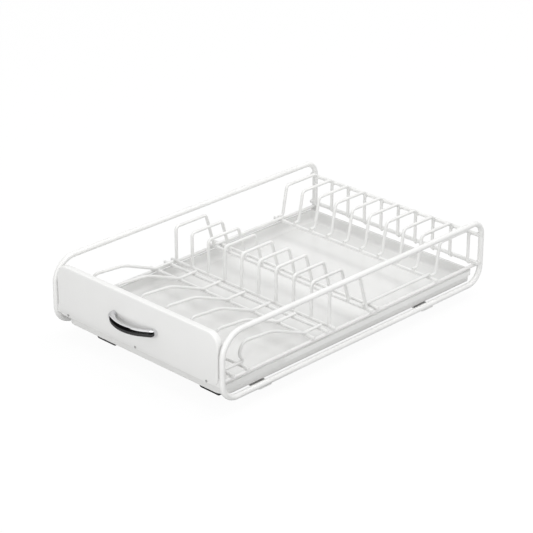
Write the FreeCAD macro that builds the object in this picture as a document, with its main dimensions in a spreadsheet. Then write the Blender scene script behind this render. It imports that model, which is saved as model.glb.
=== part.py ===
"""Pull-out dish rack: a wire rack with a drip tray, on two telescopic slides that lie flat.

Lengths are millimetres. X runs across the rack, Y from its front panel to its rear, Z up.
The origin is on the cabinet floor, in the middle of the four floor screws.
"""
import FreeCAD, Part
import math
import os
import Sketcher

V = FreeCAD.Vector
doc = FreeCAD.newDocument("dish_rack")
sizes = doc.addObject("Spreadsheet::Sheet", "Sizes")

# Driving sizes. Places ending in _y are distances behind the front tubes' centre line,
# those ending in _rise are heights above the bottom tubes' centre line.
SIZES = (
    ("rack_width", "290", "outside of one side loop to the outside of the other"),
    ("rack_depth", "457", "outside of the front tubes to the outside of the rear ones"),
    ("loop_height", "88.5", "side loop, outside to outside"),
    ("tube_d", "7", "side loop rod"),
    ("bend_low", "22", "side loop, both lower bends, centre line"),
    ("bend_rear", "18", "side loop, upper rear bend"),
    ("bend_front", "30", "side loop, upper front bend"),
    ("wire_d", "4.2", "side and cross wires"),
    ("rail_d", "5", "two rails across the rear tubes"),
    ("thin_d", "3.8", "bowl arches and edge wires"),
    ("divider_d", "4", "plate dividers"),
    ("wire_overhang", "1.5", "cross wires past the side wires, rails past the tubes' middle"),
    ("wire_round", "0.7", "rounding of a cut wire end"),
    ("front_rail_y", "20", "cross wire behind the panel"),
    ("bowl_rail_one_y", "43.5", "cross wire at the front of the bowls"),
    ("bowl_rail_two_y", "150", "cross wire at the arches' feet"),
    ("bowl_rail_three_y", "173.5", "cross wire at the arches' rear ends"),
    ("plate_rail_one_y", "185.5", "cross wire under the front dividers' front legs"),
    ("plate_rail_two_y", "250.5", "cross wire under the front dividers' rear legs"),
    ("plate_rail_three_y", "261", "cross wire that the plates rest on"),
    ("plate_rail_ahead", "80", "rear dividers' cross wire before the rear tubes' centre line"),
    ("top_rail_drop", "17.3", "upper rear rail below the upper tubes' centre line"),
    ("divider_inset", "5.85", "outermost dividers inside the side wires"),
    ("divider_height", "44.7", "front dividers above the cross wires"),
    ("divider_over_rail", "5.3", "rear dividers above the upper rear rail"),
    ("divider_top", "51.5", "level stretch of a front divider"),
    ("rear_divider_top", "55.5", "level stretch of a rear divider"),
    ("divider_bend", "5", "divider bends, centre line"),
    ("divider_heel", "6", "rear divider's front leg behind the cross wire it turns onto"),
    ("heel_bend", "4", "bend of that leg"),
    ("arch_inset", "9.6", "outermost arches inside the side wires"),
    ("arch_foot", "3.4", "arch's front foot past its cross wire, corner of the bend"),
    ("arch_foot_bend", "2.4", "bend at that foot"),
    ("arch_belly", "9.3", "arch's belly before its front foot"),
    ("arch_belly_rise", "10.3", "belly above the arch's level front run"),
    ("arch_lean", "8", "arch's shoulder behind its belly"),
    ("arch_height", "24.6", "shoulder above the level front run"),
    ("arch_curl", "9.5", "bends at the belly and the shoulder"),
    ("arch_crest", "46.5", "shoulder to where the arch slopes down"),
    ("arch_drop", "3.7", "fall over that stretch"),
    ("arch_sweep", "60", "arch's long upper curve"),
    ("arch_bend", "11", "bend at the arch's rear foot"),
    ("edge_wire_inset", "10.4", "edge wires inside the side wires"),
    ("panel_gap", "1.8", "panel to the tube on each side"),
    ("panel_over_tray", "0.4", "panel's lower edge above the tray's rim"),
    ("panel_drop", "0.2", "panel's upper edge below the upper tubes' centre line"),
    ("panel_face", "2", "panel's face before the tubes' centre line"),
    ("panel_depth", "8", "depth of the panel's folded rim"),
    ("panel_sheet", "1.2", "panel's sheet"),
    ("panel_corner_top", "16", "panel's upper corners"),
    ("panel_corner_low", "10", "panel's lower corners"),
    ("panel_bend", "1", "rounding along the panel's face"),
    ("bar_thick", "1.5", "flat bar behind the panel"),
    ("bar_height", "9", "its height"),
    ("rim_gap", "1.7", "ends of the panel's folded rim above the bar"),
    ("rivet_inset", "18.2", "outer rivets from the panel's ends"),
    ("rivet_up", "1.9", "rivets above the panel's lower edge"),
    ("rivet_d", "2.2", "rivet shank"),
    ("rivet_head_d", "3.2", "rivet head"),
    ("rivet_head", "0.4", "height of a rivet head"),
    ("handle_rise", "50", "handle's middle"),
    ("handle_feet", "69.5", "handle's feet, centre to centre"),
    ("handle_d", "9", "handle bar"),
    ("handle_foot", "4.5", "foot's length up to its corner"),
    ("handle_reach", "27", "handle's bow out of the panel, centre line's corner"),
    ("handle_bend", "6", "handle's tight bends"),
    ("handle_sweep", "48", "handle's long curve"),
    ("screw_d", "4", "screw shanks"),
    ("screw_head_d", "7", "screw heads"),
    ("screw_head", "2", "height of a screw head"),
    ("screw_play", "0.4", "hole diameter over a screw's shank"),
    ("grip", "5.5", "handle screw's length inside the handle"),
    ("tray_side_gap", "0.4", "tray's rim to the tubes on each side"),
    ("tray_set_back", "5.8", "tray's rim behind the front tubes' centre line"),
    ("tray_rear_gap", "9.5", "tray's rim before the rear tubes' centre line"),
    ("tray_height", "15.1", "underside of the floor to the rim's top"),
    ("tray_rim", "6.5", "height of the rim's band"),
    ("tray_step", "1.5", "rim's band past the wall under it"),
    ("tray_draft", "1", "how far the wall draws in, rim to floor"),
    ("tray_wall", "1.8", "tray's wall and floor"),
    ("tray_corner", "6", "tray's corners in plan"),
    ("tray_front_corner", "16", "its front corners, under the rim's band"),
    ("runner_height", "5.3", "runners under the tray"),
    ("runner_width", "8", "their width"),
    ("runner_offset", "11.5", "runner's middle outside a slide's middle"),
    ("runner_inset", "12", "runner's end from the tray's end"),
    ("tray_clear", "2", "tray's rim to the side wires"),
    ("strap_thick", "1.5", "flat cross straps"),
    ("strap_width", "22", "their width"),
    ("strap_short", "2", "strap's end inside the tube's outside"),
    ("strap_round", "3", "strap's corners"),
    ("front_strap_y", "67", "front strap's middle"),
    ("strap_ahead", "100", "rear strap's middle before the rear tubes' centre line"),
    ("slide_length", "403", "telescopic slides, pushed in"),
    ("slide_width", "35", "their width"),
    ("slide_thick", "12.7", "their height, lying flat"),
    ("slide_inset", "56.5", "slide's middle in from the rack's side"),
    ("slide_setback", "31", "slide's front end behind the front tubes' centre line"),
    ("slide_sheet", "1.2", "slide's sheet"),
    ("slide_corner", "4", "outer member's lower corners"),
    ("lip_drop", "1.7", "outer member's lips below the slide's top"),
    ("lip_width", "4.3", "how far the lips turn in, under the sheet"),
    ("middle_gap", "0.8", "outer member's floor to the middle member's"),
    ("lip_gap", "0.4", "middle member's edges under the lips"),
    ("ball_d", "3", "slide balls"),
    ("ball_play", "0.2", "ball to a member on each side"),
    ("inner_rise", "4.4", "inner member's lower edges above the cabinet floor"),
    ("cage_length", "150", "ball cages"),
    ("cage_thick", "0.8", "cage strip"),
    ("cage_height", "2", "cage strip"),
    ("pocket_play", "0.1", "cage's hole diameter over a ball's"),
    ("floor_hole_d", "4.5", "screw holes in the outer members"),
    ("access_hole_d", "9", "screwdriver holes over them"),
    ("floor_hole_inset", "57.5", "floor holes from the slide's ends"),
)
for row, (alias, value, note) in enumerate(SIZES, start=1):
    sizes.set(f"A{row}", note)
    sizes.set(f"B{row}", value)
    sizes.setAlias(f"B{row}", alias)
doc.recompute()

DIVIDERS = 10
ARCHES = 7
BALLS = 6

# Places that several pieces share, worked out from the sizes.
FRONT = "(-Sizes.slide_setback - Sizes.slide_length / 2)"
REAR = f"({FRONT} + Sizes.rack_depth - Sizes.tube_d)"
STRAP_TOP = "(Sizes.slide_thick + Sizes.strap_thick)"
TUBE_Z = f"({STRAP_TOP} + Sizes.tube_d / 2)"
TUBE_X = "(Sizes.rack_width / 2 - Sizes.tube_d / 2)"
TRAY_Z = f"({STRAP_TOP} + Sizes.runner_height)"
SIDE_WIRE_X = f"({TUBE_X} - Sizes.tube_d / 2 - Sizes.wire_d / 2)"
TRAY_TOP = f"({TRAY_Z} + Sizes.tray_height)"
SIDE_WIRE_Z = f"({TRAY_TOP} + Sizes.tray_clear + Sizes.wire_d / 2)"
CROSS_Z = f"({SIDE_WIRE_Z} + Sizes.wire_d)"
DECK_Z = f"({CROSS_Z} + Sizes.wire_d / 2)"
DIVIDER_PITCH = f"(2 * ({SIDE_WIRE_X} - Sizes.divider_inset) / {DIVIDERS - 1})"
ARCH_PITCH = f"(2 * ({SIDE_WIRE_X} - Sizes.arch_inset) / {ARCHES - 1})"
PLATE_REAR_Y = f"({REAR} - Sizes.plate_rail_ahead)"
REAR_RAIL_Y = f"({REAR} - Sizes.tube_d / 2 - Sizes.rail_d / 2)"
UPPER_TUBE_Z = f"({TUBE_Z} + Sizes.loop_height - Sizes.tube_d)"
TOP_RAIL_Z = f"({UPPER_TUBE_Z} - Sizes.top_rail_drop)"
LOW_RAIL_Z = f"({SIDE_WIRE_Z} + Sizes.wire_d / 2 + Sizes.rail_d / 2)"
PANEL_Y = f"({FRONT} - Sizes.panel_face)"
PANEL_HALF = f"({TUBE_X} - Sizes.tube_d / 2 - Sizes.panel_gap)"
PANEL_LOW = f"({TRAY_TOP} + Sizes.panel_over_tray)"
PANEL_TOP = f"({UPPER_TUBE_Z} - Sizes.panel_drop)"
BAR_Y = f"({PANEL_Y} + Sizes.panel_sheet)"
RIVET_X = f"({PANEL_HALF} - Sizes.rivet_inset)"
RIVET_Z = f"({PANEL_LOW} + Sizes.rivet_up)"
HANDLE_Z = f"({TUBE_Z} + Sizes.handle_rise)"
SLIDE_X = "(Sizes.rack_width / 2 - Sizes.slide_inset)"
STRAP_YS = (f"({FRONT} + Sizes.front_strap_y)", f"({REAR} - Sizes.strap_ahead)")
LIP_Z = "(Sizes.slide_thick - Sizes.lip_drop)"
OUTER_HALF = "(Sizes.slide_width / 2 - Sizes.slide_sheet)"
BALL_ROW = "(Sizes.ball_d + 2 * Sizes.ball_play)"
MIDDLE_HALF = f"({OUTER_HALF} - {BALL_ROW})"
MIDDLE_Z = "(Sizes.slide_sheet + Sizes.middle_gap)"
MIDDLE_TOP = f"({LIP_Z} - Sizes.slide_sheet - Sizes.lip_gap)"
INNER_HALF = f"({MIDDLE_HALF} - Sizes.slide_sheet - {BALL_ROW})"
BALL_Z = f"(({MIDDLE_Z} + Sizes.slide_sheet + {MIDDLE_TOP}) / 2)"

pieces = []


def number(expression):
    """Value that an expression of the sheet has now."""
    return float(sizes.evalExpression(expression))


def bind(thing, **expressions):
    for name, expression in expressions.items():
        thing.setExpression(name, expression)


def place(thing, x="0", y="0", z="0"):
    """Bind a sub-part's place to the sheet."""
    thing.setExpression("Placement.Base.x", x)
    thing.setExpression("Placement.Base.y", y)
    thing.setExpression("Placement.Base.z", z)


def keep(thing, label):
    thing.Label = label
    pieces.append(thing)
    return thing


def new_body(label):
    body = doc.addObject("PartDesign::Body", label)
    body.AllowCompound = True
    return keep(body, label)


def new_sketch(body, name, plane, lift=None):
    """Sketch on one of the body's own origin planes, moved along its normal by lift."""
    sketch = body.newObject("Sketcher::SketchObject", name)
    support = [one for one in body.Origin.OriginFeatures if one.Role == plane][0]
    sketch.AttachmentSupport = [(support, "")]
    sketch.MapMode = "FlatFace"
    if lift:
        sketch.setExpression("AttachmentOffset.Base.z", lift)
    return sketch


def fix(sketch, geometry, point, x, y):
    """Tie a point of the sketch to two expressions."""
    for axis, text, line in (("DistanceX", x, -2), ("DistanceY", y, -1)):
        if text == "0":
            sketch.addConstraint(Sketcher.Constraint("PointOnObject", geometry, point, line))
        else:
            rule = Sketcher.Constraint(axis, -1, 1, geometry, point, number(text))
            index = sketch.addConstraint(rule)
            sketch.setExpression(f"Constraints[{index}]", text)


def draw_path(sketch, corners):
    """Straight runs joined by tangent arcs; a corner is (x, y) or (x, y, bend radius)."""
    spots = [V(number(corner[0]), number(corner[1]), 0) for corner in corners]
    cuts = [(spots[0], spots[0])]
    for here in range(1, len(spots) - 1):
        back = (spots[here - 1] - spots[here]).normalize()
        ahead = (spots[here + 1] - spots[here]).normalize()
        half = back.getAngle(ahead) / 2
        reach = number(corners[here][2]) / math.tan(half) if len(corners[here]) > 2 else 0
        cuts.append((spots[here] + back * reach, spots[here] + ahead * reach))
    cuts.append((spots[-1], spots[-1]))
    runs = [sketch.addGeometry(Part.LineSegment(cuts[one][1], cuts[one + 1][0]))
            for one in range(len(spots) - 1)]
    fix(sketch, runs[0], 1, corners[0][0], corners[0][1])
    for here in range(1, len(spots) - 1):
        before, after = runs[here - 1], runs[here]
        if len(corners[here]) == 2:
            sketch.addConstraint(Sketcher.Constraint("Coincident", before, 2, after, 1))
            fix(sketch, before, 2, corners[here][0], corners[here][1])
            continue
        start, end = cuts[here]
        back = (start - spots[here]).normalize()
        ahead = (end - spots[here]).normalize()
        half = back.getAngle(ahead) / 2
        radius = number(corners[here][2])
        centre = spots[here] + (back + ahead).normalize() * (radius / math.sin(half))
        turns_left = back.cross(ahead).z < 0
        low, high = (start, end) if turns_left else (end, start)
        angles = [math.atan2(spot.y - centre.y, spot.x - centre.x) for spot in (low, high)]
        if angles[1] < angles[0]:
            angles[1] += 2 * math.pi
        circle = Part.Circle(centre, V(0, 0, 1), radius)
        bend = sketch.addGeometry(Part.ArcOfCircle(circle, angles[0], angles[1]))
        first = 1 if turns_left else 2
        sketch.addConstraint(Sketcher.Constraint("Tangent", before, 2, bend, first))
        sketch.addConstraint(Sketcher.Constraint("Tangent", after, 1, bend, 3 - first))
        index = sketch.addConstraint(Sketcher.Constraint("Radius", bend, radius))
        sketch.setExpression(f"Constraints[{index}]", corners[here][2])
        corner = sketch.addGeometry(Part.Point(spots[here]), True)
        sketch.addConstraint(Sketcher.Constraint("PointOnObject", corner, 1, before))
        sketch.addConstraint(Sketcher.Constraint("PointOnObject", corner, 1, after))
        fix(sketch, corner, 1, corners[here][0], corners[here][1])
    fix(sketch, runs[-1], 2, corners[-1][0], corners[-1][1])
    return runs


def draw_circle(sketch, diameter, x="0", y="0"):
    ring = sketch.addGeometry(Part.Circle(V(number(x), number(y), 0), V(0, 0, 1), number(diameter) / 2))
    fix(sketch, ring, 3, x, y)
    index = sketch.addConstraint(Sketcher.Constraint("Diameter", ring, number(diameter)))
    sketch.setExpression(f"Constraints[{index}]", diameter)


def draw_rectangle(sketch, half_x, low_y, high_y, round_low=None, round_high=None):
    """Rectangle about the sketch's upright axis, with its corners rounded where asked."""
    low = (round_low,) if round_low else ()
    high = (round_high,) if round_high else ()
    draw_path(sketch, [("0", low_y), (half_x, low_y) + low, (half_x, high_y) + high,
                       (f"-{half_x}", high_y) + high, (f"-{half_x}", low_y) + low, ("0", low_y)])


def pad(body, sketch, length, both_ways=False, other_way=False):
    feature = body.newObject("PartDesign::Pad", "Pad")
    feature.Profile = sketch
    feature.SideType = "Symmetric" if both_ways else "One side"
    feature.Reversed = other_way
    feature.setExpression("Length", length)
    doc.recompute()
    return feature


def pocket(body, sketch, length, both_ways=False, other_way=False):
    before = body.Shape.Volume
    feature = body.newObject("PartDesign::Pocket", "Pocket")
    feature.Profile = sketch
    feature.SideType = "Symmetric" if both_ways else "One side"
    feature.Reversed = other_way
    feature.setExpression("Length", length)
    doc.recompute()
    if body.Shape.Volume > before - 1:
        raise RuntimeError(f"{body.Label}: a pocket cuts nothing")
    return feature


def round_edges(body, feature, names, radius):
    fillet = body.newObject("PartDesign::Fillet", "Fillet")
    fillet.Base = (feature, names)
    fillet.setExpression("Radius", radius)
    doc.recompute()
    return fillet


def straight_wire(label, diameter, length, plane="YZ_Plane"):
    """Round wire centred on its place, across the rack or, on the XZ plane, along it."""
    body = new_body(label)
    sketch = new_sketch(body, "section", plane)
    draw_circle(sketch, diameter)
    run = pad(body, sketch, length, both_ways=True)
    ends = [f"Edge{i}" for i, edge in enumerate(run.Shape.Edges, start=1)
            if isinstance(edge.Curve, Part.Circle)]
    round_edges(body, run, ends, "Sizes.wire_round")
    return body


def bent_wire(label, diameter, corners, plane="YZ_Plane", section_plane="XZ_Plane"):
    """Round wire along a path that starts at the body's origin, square to section_plane."""
    body = new_body(label)
    path = new_sketch(body, "path", plane)
    draw_path(path, corners)
    section = new_sketch(body, "section", section_plane)
    draw_circle(section, diameter)
    doc.recompute()
    pipe = body.newObject("PartDesign::AdditivePipe", "Pipe")
    pipe.Profile = section
    pipe.Spine = (path, [f"Edge{i + 1}" for i in range(len(path.Shape.Edges))])
    doc.recompute()
    return body


# Side loops: one rod each, bent to a closed upright frame and welded under its lower run.
def side_loop(label, side):
    half = "(Sizes.rack_depth - Sizes.tube_d) / 2"
    high = "(Sizes.loop_height - Sizes.tube_d)"
    body = bent_wire(label, "Sizes.tube_d", [
        ("0", "0"), (half, "0", "Sizes.bend_low"), (half, high, "Sizes.bend_rear"),
        (f"-{half}", high, "Sizes.bend_front"), (f"-{half}", "0", "Sizes.bend_low"), ("0", "0")])
    place(body, f"{side} * {TUBE_X}", f"{FRONT} + {half}", TUBE_Z)


side_loop("left_side_loop", -1)
side_loop("right_side_loop", 1)


# Side wires: inside the tubes, from the bar behind the panel to past the rear tubes.
for label, side in (("left_side_wire", -1), ("right_side_wire", 1)):
    front_end = f"({BAR_Y} + Sizes.bar_thick)"
    rear_end = f"({REAR} + Sizes.wire_d / 2)"
    wire = straight_wire(label, "Sizes.wire_d", f"{rear_end} - {front_end}", "XZ_Plane")
    place(wire, f"{side} * {SIDE_WIRE_X}", f"({rear_end} + {front_end}) / 2", SIDE_WIRE_Z)


# Cross wires: they lie on the side wires and carry bowls and plates.
CROSS_WIRES = (
    ("front_cross_wire", f"{FRONT} + Sizes.front_rail_y"),
    ("bowl_rail_front", f"{FRONT} + Sizes.bowl_rail_one_y"),
    ("bowl_rail_middle", f"{FRONT} + Sizes.bowl_rail_two_y"),
    ("bowl_rail_rear", f"{FRONT} + Sizes.bowl_rail_three_y"),
    ("plate_rail_front", f"{FRONT} + Sizes.plate_rail_one_y"),
    ("plate_rail_second", f"{FRONT} + Sizes.plate_rail_two_y"),
    ("plate_rail_third", f"{FRONT} + Sizes.plate_rail_three_y"),
    ("plate_rail_rear", PLATE_REAR_Y),
)
for label, y in CROSS_WIRES:
    reach = f"2 * ({SIDE_WIRE_X} + Sizes.wire_d / 2 + Sizes.wire_overhang)"
    wire = straight_wire(label, "Sizes.wire_d", reach)
    place(wire, "0", y, CROSS_Z)


# Rear rails: welded across the fronts of the rear tubes, the lower one on the side wires.
for label, height in (("rear_bottom_rail", LOW_RAIL_Z), ("rear_top_rail", TOP_RAIL_Z)):
    rail = straight_wire(label, "Sizes.rail_d", f"2 * ({TUBE_X} + Sizes.wire_overhang)")
    place(rail, "0", REAR_RAIL_Y, height)


# Edge wires: from the plate rails' front pair to the rear one, beside the outermost plates.
for label, side in (("left_edge_wire", -1), ("right_edge_wire", 1)):
    start = f"({FRONT} + Sizes.plate_rail_two_y)"
    length = f"{PLATE_REAR_Y} - {start} + Sizes.wire_d"
    wire = straight_wire(label, "Sizes.thin_d", length, "XZ_Plane")
    place(wire, f"{side} * ({SIDE_WIRE_X} - Sizes.edge_wire_inset)",
          f"({start} + {PLATE_REAR_Y}) / 2", f"{DECK_Z} + Sizes.thin_d / 2")


# Plate dividers: wires bent to an open frame. The front row stands on two cross wires; the
# rear row's upright legs are welded to the front of both rear rails, and its front legs turn
# forward onto the last cross wire.
def front_divider(index):
    foot = "(Sizes.plate_rail_two_y - Sizes.plate_rail_one_y)"
    body = bent_wire(f"front_divider_{index + 1:02d}", "Sizes.divider_d", [
        ("0", "0"), ("0", "Sizes.divider_height", "Sizes.divider_bend"),
        ("Sizes.divider_top", "Sizes.divider_height", "Sizes.divider_bend"), (foot, "0")],
        section_plane="XY_Plane")
    place(body, f"({index} - {(DIVIDERS - 1) / 2}) * {DIVIDER_PITCH}",
          f"{FRONT} + Sizes.plate_rail_one_y", DECK_Z)


def rear_divider(index):
    leg_y = f"({REAR_RAIL_Y} - Sizes.rail_d / 2 - Sizes.divider_d / 2)"
    high = f"({TOP_RAIL_Z} + Sizes.divider_over_rail - {LOW_RAIL_Z})"
    heel = f"({PLATE_REAR_Y} + Sizes.divider_heel - {leg_y})"
    toe = f"({PLATE_REAR_Y} - Sizes.wire_d / 2 - {leg_y})"
    sole = f"({DECK_Z} + Sizes.divider_d / 2 - {LOW_RAIL_Z})"
    body = bent_wire(f"rear_divider_{index + 1:02d}", "Sizes.divider_d", [
        ("0", "0"), ("0", high, "Sizes.divider_bend"),
        ("-Sizes.rear_divider_top", high, "Sizes.divider_bend"),
        (heel, sole, "Sizes.heel_bend"), (toe, sole)],
        section_plane="XY_Plane")
    place(body, f"({index} - {(DIVIDERS - 1) / 2}) * {DIVIDER_PITCH}", leg_y, LOW_RAIL_Z)


for index in range(DIVIDERS):
    front_divider(index)
for index in range(DIVIDERS):
    rear_divider(index)


# Bowl arches: each lies on the front wires, curls forward and up, then slopes down to the rear.
def bowl_arch(index):
    start = "(Sizes.front_rail_y - Sizes.wire_d / 2)"
    toe = f"(Sizes.bowl_rail_one_y + Sizes.wire_d / 2 + Sizes.arch_foot - {start})"
    belly = f"({toe} - Sizes.arch_belly)"
    shoulder = f"({belly} + Sizes.arch_lean)"
    crest = f"({shoulder} + Sizes.arch_crest)"
    foot = f"(Sizes.bowl_rail_two_y - Sizes.wire_d - {start})"
    end = f"(Sizes.bowl_rail_three_y + Sizes.wire_d / 2 - {start})"
    body = bent_wire(f"bowl_arch_{index + 1}", "Sizes.thin_d", [
        ("0", "0"), (toe, "0", "Sizes.arch_foot_bend"),
        (belly, "Sizes.arch_belly_rise", "Sizes.arch_curl"),
        (shoulder, "Sizes.arch_height", "Sizes.arch_curl"),
        (crest, "(Sizes.arch_height - Sizes.arch_drop)", "Sizes.arch_sweep"),
        (foot, "0", "Sizes.arch_bend"), (end, "0")])
    place(body, f"({index} - {(ARCHES - 1) / 2}) * {ARCH_PITCH}", f"{FRONT} + {start}",
          f"{DECK_Z} + Sizes.thin_d / 2")


for index in range(ARCHES):
    bowl_arch(index)


# Front panel: sheet with its upper and side edges folded back, stood between the tubes.
def front_panel():
    beyond = "Sizes.panel_depth"
    body = new_body("front_panel")
    outline = new_sketch(body, "outline", "XZ_Plane")
    draw_rectangle(outline, PANEL_HALF, PANEL_LOW, PANEL_TOP, "Sizes.panel_corner_low",
                   "Sizes.panel_corner_top")
    block = pad(body, outline, "Sizes.panel_depth", other_way=True)
    front = [face for face in block.Shape.Faces if abs(face.CenterOfMass.y) < 0.001][0]
    names = [f"Edge{i}" for i, edge in enumerate(block.Shape.Edges, start=1)
             if any(edge.isSame(one) for one in front.Edges)]
    round_edges(body, block, names, "Sizes.panel_bend")
    inside = new_sketch(body, "inside", "XZ_Plane", "-Sizes.panel_sheet")
    draw_rectangle(inside, f"({PANEL_HALF} - Sizes.panel_sheet)", f"({PANEL_LOW} - {beyond})",
                   f"({PANEL_TOP} - Sizes.panel_sheet)", None,
                   "(Sizes.panel_corner_top - Sizes.panel_sheet)")
    pocket(body, inside, "Sizes.panel_depth")
    under = new_sketch(body, "under", "XZ_Plane", "-Sizes.panel_sheet")
    draw_rectangle(under, f"({PANEL_HALF} + {beyond})", f"({PANEL_LOW} - {beyond})",
                   f"({PANEL_LOW} + Sizes.bar_height + Sizes.rim_gap)")
    pocket(body, under, "Sizes.panel_depth")
    holes = new_sketch(body, "holes", "XZ_Plane")
    for side in ("", "-"):
        draw_circle(holes, "(Sizes.screw_d + Sizes.screw_play)",
                    f"{side}(Sizes.handle_feet / 2)", HANDLE_Z)
    for x in ("0", RIVET_X, f"-{RIVET_X}"):
        draw_circle(holes, "(Sizes.rivet_d + Sizes.screw_play / 2)", x, RIVET_Z)
    pocket(body, holes, "2 * Sizes.panel_sheet")
    place(body, "0", PANEL_Y, "0")


front_panel()


# Flat bar behind the panel's lower edge, welded between the front tubes and riveted to it.
def panel_bar():
    body = new_body("panel_bar")
    outline = new_sketch(body, "outline", "XZ_Plane")
    draw_rectangle(outline, f"({TUBE_X} - Sizes.tube_d / 2)", PANEL_LOW,
                   f"({PANEL_LOW} + Sizes.bar_height)")
    pad(body, outline, "Sizes.bar_thick", other_way=True)
    holes = new_sketch(body, "holes", "XZ_Plane")
    for x in ("0", RIVET_X, f"-{RIVET_X}"):
        draw_circle(holes, "(Sizes.rivet_d + Sizes.screw_play / 2)", x, RIVET_Z)
    pocket(body, holes, "2 * Sizes.bar_thick")
    place(body, "0", BAR_Y, "0")


panel_bar()


# Headed fasteners: a shank and one or two heads about the sketch's axis, one solid each.
def fastener(body, name, plane, x, y, lift, shank, head_d, head, length, tail=None):
    """Shank of length below the lift plane, its head above, and a second head as its tail."""
    stem = new_sketch(body, f"{name}_shank", plane, lift)
    draw_circle(stem, shank, x, y)
    pad(body, stem, length, other_way=True)
    top = new_sketch(body, f"{name}_head", plane, lift)
    draw_circle(top, head_d, x, y)
    pad(body, top, head)
    if tail:
        end = new_sketch(body, f"{name}_tail", plane, f"({lift} - {length})")
        draw_circle(end, head_d, x, y)
        pad(body, end, tail, other_way=True)


def panel_rivets():
    body = new_body("panel_rivets")
    for name, x in (("middle", "0"), ("right", RIVET_X), ("left", f"-{RIVET_X}")):
        fastener(body, name, "XZ_Plane", x, RIVET_Z, "0", "Sizes.rivet_d",
                 "Sizes.rivet_head_d", "Sizes.rivet_head",
                 "(Sizes.panel_sheet + Sizes.bar_thick)", "Sizes.rivet_head")
    place(body, "0", PANEL_Y, "0")


panel_rivets()


# Handle: a bowed round bar, its feet flat on the panel and bored for the screws.
def pull_handle():
    half = "(Sizes.handle_feet / 2)"
    body = bent_wire("pull_handle", "Sizes.handle_d", [
        ("0", "0"), ("0", "-Sizes.handle_foot", "Sizes.handle_bend"),
        (half, "-Sizes.handle_reach", "Sizes.handle_sweep"),
        ("Sizes.handle_feet", "-Sizes.handle_foot", "Sizes.handle_bend"), ("Sizes.handle_feet", "0")],
        plane="XY_Plane")
    bores = new_sketch(body, "bores", "XZ_Plane")
    for x in ("0", "Sizes.handle_feet"):
        draw_circle(bores, "(Sizes.screw_d + Sizes.screw_play / 4)", x, "0")
    pocket(body, bores, "(Sizes.grip + Sizes.screw_play)", other_way=True)
    place(body, f"-{half}", PANEL_Y, HANDLE_Z)


pull_handle()


def handle_screws():
    body = new_body("handle_screws")
    for name, x in (("left", "-(Sizes.handle_feet / 2)"), ("right", "(Sizes.handle_feet / 2)")):
        stem = new_sketch(body, f"{name}_shank", "XZ_Plane", "-Sizes.panel_sheet")
        draw_circle(stem, "Sizes.screw_d", x, HANDLE_Z)
        pad(body, stem, "(Sizes.panel_sheet + Sizes.grip)")
        head = new_sketch(body, f"{name}_head", "XZ_Plane", "-Sizes.panel_sheet")
        draw_circle(head, "Sizes.screw_head_d", x, HANDLE_Z)
        pad(body, head, "Sizes.screw_head", other_way=True)
    place(body, "0", PANEL_Y, "0")


handle_screws()


# Cross straps: flat bars welded under the tubes; the slides' inner members hang from them.
def cross_strap(label, y):
    body = new_body(label)
    outline = new_sketch(body, "outline", "XY_Plane")
    half = "(Sizes.strap_width / 2)"
    draw_rectangle(outline, "(Sizes.rack_width / 2 - Sizes.strap_short)", f"-{half}", half,
                   "Sizes.strap_round", "Sizes.strap_round")
    pad(body, outline, "Sizes.strap_thick")
    holes = new_sketch(body, "holes", "XY_Plane")
    for side in ("", "-"):
        draw_circle(holes, "(Sizes.screw_d + Sizes.screw_play)", f"{side}{SLIDE_X}", "0")
    pocket(body, holes, "2 * Sizes.strap_thick", other_way=True)
    place(body, "0", y, "Sizes.slide_thick")


cross_strap("front_strap", STRAP_YS[0])
cross_strap("rear_strap", STRAP_YS[1])


def strap_screws():
    body = new_body("strap_screws")
    for row, y in zip(("front", "rear"), STRAP_YS):
        for name, side in (("left", "-"), ("right", "")):
            fastener(body, f"{row}_{name}", "XY_Plane", f"{side}{SLIDE_X}", y, "0",
                     "Sizes.screw_d", "Sizes.screw_head_d", "Sizes.screw_head",
                     "(Sizes.strap_thick + Sizes.slide_sheet)")
    place(body, "0", "0", STRAP_TOP)


strap_screws()


# Slides: three folded members each, the outer one on the cabinet floor.
def floor_holes(body, diameter, lift, depth):
    holes = new_sketch(body, "holes", "XY_Plane", lift)
    for side in ("", "-"):
        draw_circle(holes, diameter, "0", f"{side}(Sizes.slide_length / 2 - Sizes.floor_hole_inset)")
    pocket(body, holes, depth)


def outer_member(label, side):
    body = new_body(label)
    outline = new_sketch(body, "outline", "XZ_Plane")
    draw_rectangle(outline, "(Sizes.slide_width / 2)", "0", LIP_Z, "Sizes.slide_corner",
                   "Sizes.slide_sheet")
    pad(body, outline, "Sizes.slide_length", both_ways=True)
    hollow = new_sketch(body, "hollow", "XZ_Plane")
    draw_rectangle(hollow, OUTER_HALF, "Sizes.slide_sheet", f"({LIP_Z} - Sizes.slide_sheet)",
                   "(Sizes.slide_corner - Sizes.slide_sheet)")
    pocket(body, hollow, "2 * Sizes.slide_length", both_ways=True)
    mouth = new_sketch(body, "mouth", "XZ_Plane")
    draw_rectangle(mouth, f"({OUTER_HALF} - Sizes.lip_width)", f"({LIP_Z} / 2)", "Sizes.slide_thick")
    pocket(body, mouth, "2 * Sizes.slide_length", both_ways=True)
    floor_holes(body, "Sizes.floor_hole_d", "2 * Sizes.slide_sheet", "4 * Sizes.slide_sheet")
    place(body, f"{side} * {SLIDE_X}", "0", "0")


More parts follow.
